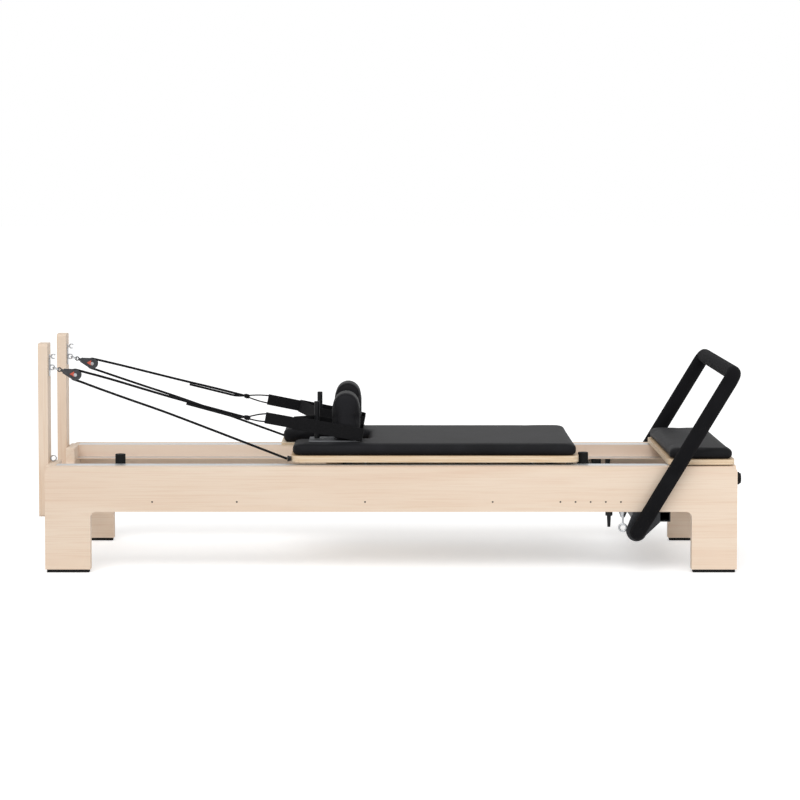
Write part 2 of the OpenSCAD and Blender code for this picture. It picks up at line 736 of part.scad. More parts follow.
// ---- shoulder rests ----

module rest_plates() color([0.74, 0.74, 0.75]) both() difference() {
    translate([plate_x[0], plate_y[0], plate_z])
        cube([plate_x[1] - plate_x[0], plate_y[1] - plate_y[0], plate_t]);
    for (x = rest_bolt_x) translate([x, rest_y, plate_z - eps])
        cylinder(h = plate_t + 2 * eps, r = rest_bolt_r + run_gap);
}

module rest_bolts() color([0.30, 0.30, 0.31]) rest_bolt_places()
    translate([0, 0, base_z - 4]) {
        cylinder(h = plate_top - base_z + 4, r = rest_bolt_r);
        cylinder(h = 4, r = rest_bolt_r + 4);
    }

module strap_pegs() color([0.10, 0.10, 0.10]) both()
    translate([head_edge + peg_x, peg_y, plate_top]) cylinder(h = peg_h, r = peg_d / 2);

module shoulder_rest() {
    r = rest_l / 2;
    side_slab(rest_y + rest_w / 2, rest_w) {
        translate([rest_x0, plate_top]) square([rest_l, rest_h - r]);
        translate([rest_x0 + r, plate_top + rest_h - r]) circle(r);
    }
}

module near_shoulder_rest() color([0.12, 0.12, 0.12]) near() shoulder_rest();
module far_shoulder_rest() color([0.12, 0.12, 0.12]) shoulder_rest();

// ---- straps ----

// Plan of a webbing band between two points
module band(a, b, t) {
    d = b - a;
    translate(a) rotate(atan2(d[1], d[0])) translate([0, -t / 2]) square([norm(d), t]);
}

// A strap seen from above is a narrow tail and a doubled loop round the rest and its peg
module strap(tail, rise) {
    outer = rest_y + rest_w / 2 + 5;
    inner = rest_y - rest_w / 2 - 3;
    foot = -strap_t / 2;
    translate([strap_foot_x, 0, plate_top + 20]) rotate([0, atan2(rise, -tail), 0]) {
        translate([0, 0, -strap_end_w / 2]) linear_extrude(strap_end_w)
            band([tail, outer], [-230, outer], strap_t - 1);
        translate([0, 0, -strap_w / 2]) linear_extrude(strap_w) {
            band([-235, outer], [0, outer], strap_t);
            band([foot, outer - 1], [foot, inner + 1], strap_t);
            band([-170, inner], [0, inner], strap_t);
            band([-228, outer], [-168, inner], strap_t);
        }
    }
}

// The knot and the thin cord between the rope and the strap
module strap_cord(knot, top, low) {
    translate(knot) sphere(9);
    for (p = [top, low]) rope_along([knot, (knot + p) / 2, p], 3.6);
}

module near_strap() color([0.09, 0.09, 0.09]) {
    near() strap(-330, 60);
    strap_cord(near_knot, [-408, -245, 519] + sided(strap_shift, -1),
        [-412, -245, 492] + sided(strap_shift, -1));
}
module far_strap() color([0.09, 0.09, 0.09]) {
    strap(-350, 70);
    strap_cord(far_knot, [-427, 245, 528] + sided(strap_shift, 1), [-431, 245, 501] + sided(strap_shift, 1));
}

// ---- headrest ----

module headrest_hinges() color([0.60, 0.60, 0.61]) both() {
    rod_y(head_x1, hinge_z, hinge_r, head_w / 4 - 20, head_w / 4 + 20);
    translate([head_x1, head_w / 4 - 20, pad_z]) cube([recess_x - head_x1 - 3, 40, 2]);
}

module headrest_plan(inset) translate([(head_x0 + head_x1) / 2, 0])
    rounded(head_l - 2 * inset, head_w - 2 * inset, 18 - inset);

module headrest_board() color([0.86, 0.76, 0.62]) {
    translate([0, 0, head_board_z]) linear_extrude(head_board_t) headrest_plan(2);
    both() translate([head_edge + 24, head_w / 2 - 24, pad_z + clear])
        cylinder(h = head_board_z - pad_z, r = 8);
}

module headrest_cushion() color([0.12, 0.12, 0.12])
    translate([0, 0, head_board_z + head_board_t]) linear_extrude(head_cushion_t) headrest_plan(0);

near_side_panel();
far_side_panel();
head_end_board();
foot_end_board();
near_post();
far_post();
rubber_feet();
tracks();
panel_screws();
post_bolts();
post_hooks();
eye_plates();
shackles();
pulley_blocks();
tether_ring();
rubber_stops();
foot_end_bumpers();
spring_bar();
spring_bar_brackets();
cross_beam();
foot_bar_ears();
platform_base();
platform_pad();
platform_spacers();
hanger_peg();
snap_hook();
near_rope();
far_rope();
near_sheave();
far_sheave();
foot_bar_tube();
foot_bar_padding();
near_clamp_knob();
far_clamp_knob();
carriage_base();
carriage_pad();
carriage_battens();
wheel_axles();
roller_bolts();
near_shoulder_rest();
far_shoulder_rest();
rest_plates();
rest_bolts();
strap_pegs();
rope_sockets();
spring_anchor();
springs();
near_strap();
far_strap();
headrest_hinges();
headrest_board();
headrest_cushion();
near_head_wheel();
near_foot_wheel();
far_head_wheel();
far_foot_wheel();
near_head_roller();
near_foot_roller();
far_head_roller();
far_foot_roller();
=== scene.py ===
import math
import bmesh
import bpy
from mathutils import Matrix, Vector


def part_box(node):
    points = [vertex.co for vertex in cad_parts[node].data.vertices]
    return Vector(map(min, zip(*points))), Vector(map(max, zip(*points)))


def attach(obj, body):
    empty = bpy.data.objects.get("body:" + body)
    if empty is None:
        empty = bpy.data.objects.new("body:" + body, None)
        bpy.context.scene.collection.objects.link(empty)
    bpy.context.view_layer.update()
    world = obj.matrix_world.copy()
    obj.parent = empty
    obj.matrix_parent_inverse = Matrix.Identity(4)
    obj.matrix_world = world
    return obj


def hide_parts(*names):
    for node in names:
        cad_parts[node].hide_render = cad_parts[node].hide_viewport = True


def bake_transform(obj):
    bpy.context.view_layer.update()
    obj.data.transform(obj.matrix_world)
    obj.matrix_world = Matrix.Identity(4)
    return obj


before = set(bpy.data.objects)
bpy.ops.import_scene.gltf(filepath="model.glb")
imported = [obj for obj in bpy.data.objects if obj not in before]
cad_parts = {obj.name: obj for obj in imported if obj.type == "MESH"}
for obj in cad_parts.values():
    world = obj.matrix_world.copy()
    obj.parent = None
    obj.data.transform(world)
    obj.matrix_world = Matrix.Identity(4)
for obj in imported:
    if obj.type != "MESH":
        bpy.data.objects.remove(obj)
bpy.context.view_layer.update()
scene = bpy.context.scene
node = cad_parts
bpy.ops.object.select_all(action="DESELECT")

# ---- viewpoint ----
# The reformer is seen from its long near side, from a little above the top of its posts.
# A long lens keeps the two side panels nearly the same height.
camera_data = bpy.data.cameras.new("camera")
camera_data.sensor_width = 36
camera_data.lens = 100.4
camera_data.shift_x = 0.0112
camera_data.shift_y = -0.1493
camera_data.clip_end = 60
camera = bpy.data.objects.new("camera", camera_data)
camera.location = (0.005, -7.657, 1.352)
camera.rotation_euler = (math.radians(87), 0, 0)
scene.collection.objects.link(camera)
scene.camera = camera

# ---- side panels, end boards and posts ----
# Each side panel is one thick board of pale maple, its rail and its two legs cut in one piece.
# The end boards and posts are the same maple, oiled, with edges eased by a small round-over.
# Their grain runs along the length of each board.


def shade(code):
    """A colour written as six hex digits, made linear for the shader."""
    parts = [int(code[i : i + 2], 16) / 255 for i in (0, 2, 4)]
    return (*[p / 12.92 if p <= 0.04045 else ((p + 0.055) / 1.055) ** 2.4 for p in parts], 1)


def finish_of(name, rough, metallic=0.0, gloss=0.5):
    """A material with its shader, its nodes and its links."""
    material = bpy.data.materials.new(name)
    material.use_nodes = True
    tree = material.node_tree
    shader = tree.nodes["Principled BSDF"]
    shader.inputs["Roughness"].default_value = rough
    shader.inputs["Metallic"].default_value = metallic
    shader.inputs["Specular IOR Level"].default_value = gloss
    return material, tree.nodes, tree.links, shader


def grain_of(nodes, links, stretch, scale, detail=6.0):
    """Noise on the piece's own coordinates, stretched along its grain."""
    place = nodes.new("ShaderNodeTexCoord")
    turn = nodes.new("ShaderNodeMapping")
    turn.inputs["Scale"].default_value = stretch
    noise = nodes.new("ShaderNodeTexNoise")
    noise.inputs["Scale"].default_value = scale
    noise.inputs["Detail"].default_value = detail
    links.new(place.outputs["Object"], turn.inputs["Vector"])
    links.new(turn.outputs["Vector"], noise.inputs["Vector"])
    return noise.outputs["Fac"]


def tones(nodes, links, factor, stops):
    """Colours spread over a pattern, from its dark places to its light ones."""
    ramp = nodes.new("ShaderNodeValToRGB")
    ramp.color_ramp.elements[0].position = stops[0][0]
    ramp.color_ramp.elements[0].color = shade(stops[0][1])
    ramp.color_ramp.elements[1].position = stops[-1][0]
    ramp.color_ramp.elements[1].color = shade(stops[-1][1])
    for position, code in stops[1:-1]:
        ramp.color_ramp.elements.new(position).color = shade(code)
    links.new(factor, ramp.inputs["Fac"])
    return ramp.outputs["Color"]


def relief(nodes, links, shader, height, strength, depth):
    """Turns a pattern into fine relief on the surface."""
    bump = nodes.new("ShaderNodeBump")
    bump.inputs["Strength"].default_value = strength
    bump.inputs["Distance"].default_value = depth
    links.new(height, bump.inputs["Height"])
    links.new(bump.outputs["Normal"], shader.inputs["Normal"])


def blended(nodes, links, how, factor, first, second):
    """Two colours laid over each other."""
    mix = nodes.new("ShaderNodeMix")
    mix.data_type = "RGBA"
    mix.blend_type = how
    mix.inputs["Factor"].default_value = factor
    links.new(first, mix.inputs["A"])
    links.new(second, mix.inputs["B"])
    return mix.outputs["Result"]


def maple(name, broad, fine):
    """Oiled maple: broad soft bands, fine streaks and hairline pores along the grain."""
    material, nodes, links, shader = finish_of(name, 0.52, gloss=0.3)
    bands = tones(nodes, links, grain_of(nodes, links, broad, 1.0),
                  [(0.28, "E7CFB9"), (0.46, "EAD5C0"), (0.60, "ECD9C5"), (0.76, "E8D1BC")])
    streak = grain_of(nodes, links, fine, 1.0, 3.0)
    streaks = tones(nodes, links, streak, [(0.32, "F9F4F0"), (0.52, "FFFFFF")])
    links.new(blended(nodes, links, "MULTIPLY", 0.85, bands, streaks), shader.inputs["Base Color"])
    relief(nodes, links, shader, streak, 0.08, 0.0004)
    return material


def coat(name, material):
    """Gives a CAD piece its finish."""
    piece = node[name]
    if not piece.material_slots:
        piece.data.materials.append(material)
    for slot in piece.material_slots:
        slot.material = material


def ease_edges(name, width):
    """A small round-over along the sharp edges of a board."""
    weld = node[name].modifiers.new("merged", "WELD")
    weld.merge_threshold = 0.00002
    round_over = node[name].modifiers.new("round_over", "BEVEL")
    round_over.width = width
    round_over.segments = 3
    round_over.limit_method = "ANGLE"
    round_over.angle_limit = math.radians(50)
    round_over.harden_normals = False


maple_long = maple("maple_long", (1.3, 14.0, 20.0), (5.0, 120.0, 240.0))
maple_cross = maple("maple_cross", (14.0, 1.3, 20.0), (120.0, 5.0, 240.0))
maple_upright = maple("maple_upright", (14.0, 14.0, 1.3), (160.0, 160.0, 5.0))
for name in ("near_side_panel", "far_side_panel", "carriage_battens"):
    coat(name, maple_long)
for name in ("head_end_board", "foot_end_board"):
    coat(name, maple_cross)
for name in ("near_post", "far_post"):
    coat(name, maple_upright)
for name in ("near_side_panel", "far_side_panel", "head_end_board", "foot_end_board"):
    ease_edges(name, 0.004)
for name in ("near_post", "far_post"):
    ease_edges(name, 0.008)

# ---- rubber and plastic fittings ----
# Pads under the legs, stops on the tracks and bumpers on the foot end are moulded black rubber.
# Knobs, pegs and rope sockets are moulded plastic with a fine spark-eroded texture, and the
# pulleys' cheeks are a dark grey one.


def moulded(name, dark, light, rough, size, depth):
    """Moulded rubber or plastic: a faint mottling and a fine texture from the mould."""
    material, nodes, links, shader = finish_of(name, rough, gloss=0.2)
    mottle = grain_of(nodes, links, (1, 1, 1), 60.0, 4.0)
    colour = tones(nodes, links, mottle, [(0.35, dark), (0.65, light)])
    links.new(colour, shader.inputs["Base Color"])
    relief(nodes, links, shader, grain_of(nodes, links, (1, 1, 1), size, 3.0), 0.25, depth)
    return material


rubber = moulded("rubber", "121212", "191919", 0.82, 700.0, 0.0003)
plastic = moulded("black_plastic", "131416", "1B1C1E", 0.45, 1100.0, 0.0002)
wheel_grey = moulded("wheel_plastic", "4A4B4E", "5A5B5E", 0.5, 900.0, 0.0002)
for name in ("rubber_feet", "rubber_stops", "foot_end_bumpers"):
    coat(name, rubber)
for name in ("near_sheave", "far_sheave", "hanger_peg", "near_clamp_knob", "far_clamp_knob",
             "rope_sockets", "strap_pegs", "platform_spacers"):
    coat(name, plastic)
cheek_grey = moulded("pulley_plastic", "3C3D40", "4C4D50", 0.48, 1100.0, 0.0002)
coat("pulley_blocks", cheek_grey)
for side in ("near", "far"):
    for end in ("head", "foot"):
        coat(f"{side}_{end}_wheel", wheel_grey)
        coat(f"{side}_{end}_roller", wheel_grey)

# ---- metal fittings ----
# Tracks are brushed aluminium with their inner walls faced in maple, and the rests' plates are a
# duller steel. Hooks, eyes, shackles, axles and the spring bar are bright zinc-plated steel.
# Brackets, ears, screws and the beam are coated dark.


def metal(name, dark, light, rough, stretch, metallic):
    """Metal with fine brushing along its length and slight changes of tone."""
    material, nodes, links, shader = finish_of(name, rough, metallic)
    brushing = grain_of(nodes, links, stretch, 1.0, 4.0)
    colour = tones(nodes, links, brushing, [(0.35, dark), (0.65, light)])
    links.new(colour, shader.inputs["Base Color"])
    relief(nodes, links, shader, brushing, 0.06, 0.0002)
    return material


def faced_with_maple(material, bare_metal):
    """Lays maple over the walls that face sideways and leaves the others as bare metal."""
    nodes = material.node_tree.nodes
    links = material.node_tree.links
    shader = nodes["Principled BSDF"]
    place = nodes.new("ShaderNodeTexCoord")
    facing = nodes.new("ShaderNodeSeparateXYZ")
    links.new(place.outputs["Normal"], facing.inputs["Vector"])
    sideways = nodes.new("ShaderNodeMath")
    sideways.operation = "ABSOLUTE"
    links.new(facing.outputs["Y"], sideways.inputs[0])
    on_wall = nodes.new("ShaderNodeMath")
    on_wall.operation = "GREATER_THAN"
    on_wall.inputs[1].default_value = 0.9
    links.new(sideways.outputs[0], on_wall.inputs[0])
    facing_maple = tones(nodes, links, grain_of(nodes, links, (1.3, 14.0, 20.0), 1.0),
                         [(0.28, "E6CBB6"), (0.60, "EDD9C6")])
    clad = nodes.new("ShaderNodeMix")
    clad.data_type = "RGBA"
    links.new(on_wall.outputs[0], clad.inputs["Factor"])
    links.new(shader.inputs["Base Color"].links[0].from_socket, clad.inputs["A"])
    links.new(facing_maple, clad.inputs["B"])
    links.new(clad.outputs["Result"], shader.inputs["Base Color"])
    bare = nodes.new("ShaderNodeMapRange")
    bare.inputs["To Min"].default_value = bare_metal
    bare.inputs["To Max"].default_value = 0.0
    links.new(on_wall.outputs[0], bare.inputs["Value"])
    links.new(bare.outputs["Result"], shader.inputs["Metallic"])


bright_steel = metal("bright_steel", "A9ABAE", "C2C4C7", 0.28, (240.0, 240.0, 240.0), 0.95)
dark_steel = metal("dark_steel", "2A2B2D", "37383B", 0.45, (300.0, 300.0, 300.0), 0.6)
black_steel = metal("black_steel", "191A1B", "222325", 0.5, (500.0, 500.0, 500.0), 0.2)
track_metal = 0.55
track_finish = metal("track_aluminium", "C4C6C8", "D6D8DA", 0.42, (12.0, 420.0, 420.0), track_metal)
faced_with_maple(track_finish, track_metal)
coat("tracks", track_finish)
plate_steel = metal("plate_steel", "66686B", "7C7E81", 0.45, (12.0, 420.0, 420.0), 0.6)
coat("rest_plates", plate_steel)
for name in ("post_hooks", "eye_plates", "shackles", "tether_ring", "spring_bar", "snap_hook",
             "headrest_hinges", "wheel_axles", "roller_bolts", "rest_bolts", "post_bolts"):
    coat(name, bright_steel)
for name in ("panel_screws", "foot_bar_ears", "spring_anchor", "foot_bar_tube"):
    coat(name, dark_steel)
for name in ("spring_bar_brackets", "cross_beam"):
    coat(name, black_steel)

# ---- plywood ----
# The carriage's base, the foot platform and the headrest's board are birch plywood, sanded and
# lacquered, with their thin darker glue lines showing along the edges.
ply_pitch = 0.0046
plywood, nodes, links, shader = finish_of("plywood", 0.5)
place = nodes.new("ShaderNodeTexCoord")
plies = nodes.new("ShaderNodeTexWave")
plies.bands_direction = "Z"
plies.inputs["Scale"].default_value = 2 * math.pi / (20 * ply_pitch)
plies.inputs["Distortion"].default_value = 0.4
links.new(place.outputs["Object"], plies.inputs["Vector"])
layers = tones(nodes, links, plies.outputs["Fac"], [(0.05, "D2B592"), (0.30, "ECDABF"), (1.0, "F1E2CB")])
fibres = tones(nodes, links, grain_of(nodes, links, (9.0, 70.0, 300.0), 1.0),
               [(0.35, "EFE4D4"), (0.6, "FFFFFF")])
links.new(blended(nodes, links, "MULTIPLY", 0.8, layers, fibres), shader.inputs["Base Color"])
for name in ("carriage_base", "platform_base", "headrest_board"):
    coat(name, plywood)
    ease_edges(name, 0.002)

# ---- pulley marks ----
# Each cheek carries a small plain red triangle, a press-in plastic badge that shows the load side.
# It is a thin three-sided plate with softened corners.


def alone(piece):
    """Selects one piece and makes it the active one."""
    bpy.ops.object.select_all(action="DESELECT")
    piece.select_set(True)
    bpy.context.view_layer.objects.active = piece


def rounded_by(piece, width, segments, angle=40):
    """Rounds the sharp edges of a new piece."""
    alone(piece)
    bevel = piece.modifiers.new("rounding", "BEVEL")
    bevel.width = width
    bevel.segments = segments
    bevel.limit_method = "ANGLE"
    bevel.angle_limit = math.radians(angle)
    bpy.ops.object.modifier_apply(modifier="rounding")


red_badge = moulded("red_badge", "C75B4A", "D56B58", 0.5, 900.0, 0.0001)
pulley_at = (-1.0512, 0.646)
pulley_line = 0.212
badge_face = 0.0089
rivet_face = 0.0092
for side, sign in (("near", -1), ("far", 1)):
    for face in (-1, 1):
        bpy.ops.mesh.primitive_cylinder_add(
            vertices=3, radius=0.0105, depth=0.0012,
            location=(pulley_at[0] - 0.009, sign * pulley_line + face * badge_face, pulley_at[1] + 0.003),
            rotation=(math.pi / 2, math.radians(30), 0))
        badge = bpy.context.object
        badge.name = f"{side}_badge_{'out' if face == sign else 'in'}"
        bpy.ops.object.transform_apply(location=True, rotation=True, scale=True)
        rounded_by(badge, 0.0004, 2)
        badge.data.materials.append(red_badge)
        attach(badge, "frame")

# A bright rivet head stands on each cheek at the wheel's middle.
for side, sign in (("near", -1), ("far", 1)):
    for face in (-1, 1):
        bpy.ops.mesh.primitive_cylinder_add(
            vertices=32, radius=0.0058, depth=0.002, rotation=(math.pi / 2, 0, 0),
            location=(pulley_at[0], sign * pulley_line + face * rivet_face, pulley_at[1]))
        rivet = bpy.context.object
        rivet.name = f"{side}_rivet_{'out' if face == sign else 'in'}"
        bpy.ops.object.transform_apply(location=True, rotation=True, scale=True)
        rounded_by(rivet, 0.0007, 3)
        rivet.data.materials.append(bright_steel)
        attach(rivet, "frame")

# ---- ropes ----
# Two braided black ropes, 8 mm thick, run from sockets on the carriage up to a pulley on each post
# and back to a knot at the strap, where the free end is lashed back along the rope. The runs below
# and above a pulley are two pieces, because each shortens by itself as the carriage slides.
near_rope_route = [
    (-0.3414, -0.270, 0.371), (-0.400, -0.265, 0.393), (-0.520, -0.255, 0.438), (-0.640, -0.246, 0.483),
    (-0.760, -0.236, 0.527), (-0.880, -0.227, 0.568), (-0.980, -0.219, 0.603), (-1.030, -0.213, 0.621),
    (-1.057, -0.212, 0.630), (-1.063, -0.212, 0.634), (-1.067, -0.212, 0.640), (-1.068, -0.212, 0.647),
    (-1.0654, -0.212, 0.6542), (-1.0614, -0.212, 0.6603), (-1.054, -0.212, 0.663), (-1.047, -0.212, 0.662),
    (-1.020, -0.214, 0.655), (-0.940, -0.219, 0.634), (-0.840, -0.226, 0.605), (-0.740, -0.233, 0.576),
    (-0.640, -0.239, 0.549), (-0.560, -0.245, 0.528), (-0.484, -0.249, 0.508)]
far_rope_route = [(x, -y, z) for x, y, z in near_rope_route[:16]] + [
    (-1.020, 0.213, 0.656), (-0.940, 0.214, 0.637), (-0.840, 0.215, 0.612), (-0.740, 0.216, 0.587),
    (-0.640, 0.217, 0.563), (-0.580, 0.218, 0.548), (-0.515, 0.220, 0.531)]
rope_r = 0.004
rope_steps = 4
back_of_wheel = 11
loop_r = 0.0024
knot_length = 0.016
knot_rope_r = 0.0032


def eased(points, steps):
    """A smooth line through the points."""
    line = []
    p = [Vector(q) for q in points]
    for i in range(len(p) - 1):
        a, b, c, d = p[max(i - 1, 0)], p[i], p[i + 1], p[min(i + 2, len(p) - 1)]
        for k in range(steps):
            t = k / steps
            line.append(0.5 * (2 * b + (c - a) * t + (2 * a - 5 * b + 4 * c - d) * t * t
                               + (3 * b - a - 3 * c + d) * t ** 3))
    line.append(p[-1])
    return line


def swept(name, line, radii, sides):
    """A round tube along a line, closed at both ends, with a UV map that follows it."""
    line = [Vector(q) for q in line]
    if not hasattr(radii, "__len__"):
        radii = [radii] * len(line)
    along = [(line[min(i + 1, len(line) - 1)] - line[max(i - 1, 0)]).normalized() for i in range(len(line))]
    up = along[0].orthogonal().normalized()
    gone = 0.0
    rings = []
    lengths = []
    for i, point in enumerate(line):
        up = (up - up.dot(along[i]) * along[i]).normalized()
        across = along[i].cross(up)
        if i:
            gone += (point - line[i - 1]).length
        lengths.append(gone)
        for k in range(sides):
            a = 2 * math.pi * k / sides
            rings.append(point + radii[i] * (math.cos(a) * up + math.sin(a) * across))
    faces = []
    for i in range(len(line) - 1):
        for k in range(sides):
            n = (k + 1) % sides
            faces.append((i * sides + k, i * sides + n, (i + 1) * sides + n, (i + 1) * sides + k))
    last = (len(line) - 1) * sides
    faces.append(tuple(reversed(range(sides))))
    faces.append(tuple(last + k for k in range(sides)))
    mesh = bpy.data.meshes.new(name)
    mesh.from_pydata(rings, [], faces)
    uv = mesh.uv_layers.new(name="UVMap")
    for index, face in enumerate(mesh.polygons):
        ring, k = divmod(index, sides)
        for corner, loop in enumerate(face.loop_indices):
            if ring < len(line) - 1:
                turn = k + (1 if corner in (1, 2) else 0)
                uv.data[loop].uv = (turn / sides, lengths[ring + (1 if corner > 1 else 0)])
        face.use_smooth = ring < len(line) - 1
    piece = bpy.data.objects.new(name, mesh)
    scene.collection.objects.link(piece)
    return piece


def braid(name, dark, light, strands, pitch):
    """Braided yarn: two sets of strands that cross as they wind along the piece."""
    material, nodes, links, shader = finish_of(name, 0.78, gloss=0.1)
    place = nodes.new("ShaderNodeTexCoord")
    split = nodes.new("ShaderNodeSeparateXYZ")
    links.new(place.outputs["UV"], split.inputs["Vector"])
    sets = []
    for way in (1, -1):
        round_it = nodes.new("ShaderNodeMath")
        round_it.operation = "MULTIPLY"
        round_it.inputs[1].default_value = 2 * math.pi * strands
        links.new(split.outputs["X"], round_it.inputs[0])
        wind = nodes.new("ShaderNodeMath")
        wind.operation = "MULTIPLY_ADD"
        wind.inputs[1].default_value = way * 2 * math.pi / pitch
        links.new(split.outputs["Y"], wind.inputs[0])
        links.new(round_it.outputs[0], wind.inputs[2])
        wave = nodes.new("ShaderNodeMath")
        wave.operation = "SINE"
        links.new(wind.outputs[0], wave.inputs[0])
        sets.append(wave.outputs[0])
    over = nodes.new("ShaderNodeMath")
    over.operation = "MAXIMUM"
    links.new(sets[0], over.inputs[0])
    links.new(sets[1], over.inputs[1])
    links.new(tones(nodes, links, over.outputs[0], [(0.1, dark), (0.9, light)]), shader.inputs["Base Color"])
    relief(nodes, links, shader, over.outputs[0], 0.5, 0.0004)
    return material


def knotted(name, place, wind, radius, turns):
    """A fat stopper knot: close turns of the rope round itself, drawn tight."""
    line = []
    steps = 14 * turns
    for i in range(steps + 1):
        t = i / steps
        a = 2 * math.pi * turns * t
        bulge = radius * (0.75 + 0.35 * math.sin(math.pi * t))
        line.append(Vector(place) + wind * (t - 0.5) * knot_length
                    + bulge * (math.cos(a) * wind.orthogonal().normalized()
                               + math.sin(a) * wind.cross(wind.orthogonal()).normalized()))
    return swept(name, line, knot_rope_r, 10)


rope_braid = braid("rope_braid", "0C0C0D", "1C1C1F", 4, 0.007)
loop_braid = braid("loop_braid", "0C0C0D", "1A1A1D", 3, 0.004)
rope_facts = {
    "near": (near_rope_route, 1.40, (-0.475, -0.250, 0.506),
             [(-0.408, -0.245, 0.519), (-0.412, -0.245, 0.492)]),
    "far": (far_rope_route, 1.36, (-0.506, 0.220, 0.529),
            [(-0.427, 0.245, 0.528), (-0.431, 0.245, 0.501)])}
for side, (route, length, knot_at, corners) in rope_facts.items():
    line = eased(route, rope_steps)
    meet = rope_steps * back_of_wheel
    runs = {"lower": line[: meet + 1], "upper": line[meet:]}
    pull = (Vector(route[-1]) - Vector(route[-2])).normalized()
    knot = knotted(f"{side}_rope_knot", knot_at, pull, 0.0052, 3)
    knot.data.materials.append(rope_braid)
    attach(knot, "carriage")
    for run, part in runs.items():
        rope = swept(f"{side}_rope_{run}", part, rope_r, 14)
        rope.data.materials.append(rope_braid)
        if run == "lower":
            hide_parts(f"{side}_rope")
            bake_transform(rope)
        else:
            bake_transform(rope)
    end = Vector(route[-1])
    back = Vector(route[-3]).lerp(Vector(route[-4]), 0.38 if side == "near" else 0.68)
    apart = Vector((0, -0.005, -0.0075))
    tail_line = [end.lerp(back, k / 10) + apart * min(1, k / 1.5) for k in range(11)]
    doubled = swept(f"{side}_rope_tail", eased(tail_line, 2), rope_r * 0.95, 12)
    doubled.data.materials.append(rope_braid)
    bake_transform(doubled)
    bow = Vector((0, 0, 0.003))
    over = (Vector(corners[0]) + Vector(knot_at)) / 2 + bow
    under = (Vector(corners[1]) + Vector(knot_at)) / 2 - bow
    loop_line = eased([corners[0], over, knot_at, under, corners[1]], 8)
    loop = swept(f"{side}_cord_loop", loop_line, loop_r, 10)
    loop.data.materials.append(loop_braid)
    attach(loop, "carriage")

# ---- straps ----
# Each strap is one length of black nylon webbing, 44 mm wide. Its loop goes round a shoulder rest
# and its peg, and the two layers are sewn with two rows of stitches where the narrower tail starts.
strap_foot = -0.090
strap_base_z = 0.4463
strap_line = 0.245
stitch_from = -0.276
stitch_pitch = 0.006
stitch_length = 0.0035
stitch_row = 0.014
stitch_face = 0.2474
stitch_r = 0.0004
webbing, nodes, links, shader = finish_of("webbing", 0.8, gloss=0.1)
rib = grain_of(nodes, links, (420.0, 420.0, 900.0), 1.0, 2.0)
links.new(tones(nodes, links, rib, [(0.35, "0B0B0C"), (0.68, "1A1A1C")]), shader.inputs["Base Color"])
shader.inputs["Sheen Weight"].default_value = 0.03
relief(nodes, links, shader, rib, 0.5, 0.0005)


def turned(corners, radius):
    """A line through corners in plan, each corner rounded off."""
    line = [Vector(corners[0])]
    for a, b, c in zip(corners, corners[1:], corners[2:]):
        a, b, c = Vector(a), Vector(b), Vector(c)
        start = b + (a - b).normalized() * radius
        end = b + (c - b).normalized() * radius
        for k in range(7):
            t = k / 6
            line.append((1 - t) ** 2 * start + 2 * t * (1 - t) * b + t * t * end)
    line.append(Vector(corners[-1]))
    return line


def on_strap(u, y, w, lean):
    """A point of a sloping strap, from its place along, across and up the webbing."""
    return (strap_foot + u * math.cos(lean) + w * math.sin(lean), y,
            strap_base_z - u * math.sin(lean) + w * math.cos(lean))


def strip_of(name, plan, sign, lean, wide, thick):
    """Webbing on edge along a line in plan, sloping up towards the pulleys."""
    mesh = bpy.data.meshes.new(name)
    verts = []
    faces = []
    for i, q in enumerate(plan):
        ahead = (plan[min(i + 1, len(plan) - 1)] - plan[max(i - 1, 0)]).normalized()
        out = Vector((-ahead.y, ahead.x)) * thick / 2
        for side, level in ((1, -1), (1, 1), (-1, 1), (-1, -1)):
            u = q.x + side * out.x
            y = q.y + side * out.y
            verts.append(on_strap(u, sign * y, level * wide / 2, lean))
    for i in range(len(plan) - 1):
        for k in range(4):
            n = (k + 1) % 4
            faces.append((4 * i + k, 4 * i + n, 4 * i + 4 + n, 4 * i + 4 + k))
    faces.append((3, 2, 1, 0))
    last = 4 * (len(plan) - 1)
    faces.append((last, last + 1, last + 2, last + 3))
    mesh.from_pydata(verts, [], faces)
    piece = bpy.data.objects.new(name, mesh)
    scene.collection.objects.link(piece)
    alone(piece)
    bpy.ops.object.mode_set(mode="EDIT")
    bpy.ops.mesh.select_all(action="SELECT")
    bpy.ops.mesh.normals_make_consistent(inside=False)
    bpy.ops.object.mode_set(mode="OBJECT")
    rounded_by(piece, thick * 0.3, 2, 60)
    return piece


def joined(name, parts):
    """Joins several pieces into one."""
    alone(parts[0])
    for part in parts:
        part.select_set(True)
    bpy.ops.object.join()
    whole = bpy.context.object
    whole.name = name
    return whole


loop_plan = turned([(-0.236, 0.2450), (0.0, 0.2450), (0.0, 0.1070), (-0.172, 0.1070),
                    (-0.232, 0.2425)], 0.012)
for side, sign, lean, tail in (("near", -1, 10.3, -0.330), ("far", 1, 11.31, -0.350)):
    angle = math.radians(lean)
    loop = strip_of(f"{side}_strap_loop", loop_plan, sign, angle, 0.044, 0.003)
    tail_plan = [Vector((x, strap_line)) for x in (tail, -0.28, -0.224)]
    tails = strip_of(f"{side}_strap_tail", tail_plan, sign, angle, 0.038, 0.0045)
    thread = []
    for row, w in enumerate((-stitch_row, stitch_row)):
        for k in range(8):
            u = stitch_from + stitch_pitch * k
            seam = [on_strap(u + on, sign * stitch_face, w, angle) for on in (0.0, stitch_length)]
            thread.append(swept(f"{side}_stitch_{row}_{k}", seam, stitch_r, 6))
    sewn = joined(f"{side}_strap_stitching", thread)
    for strip in (loop, tails, sewn):
        strip.data.materials.append(webbing)
        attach(strip, "carriage")
    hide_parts(f"{side}_strap")

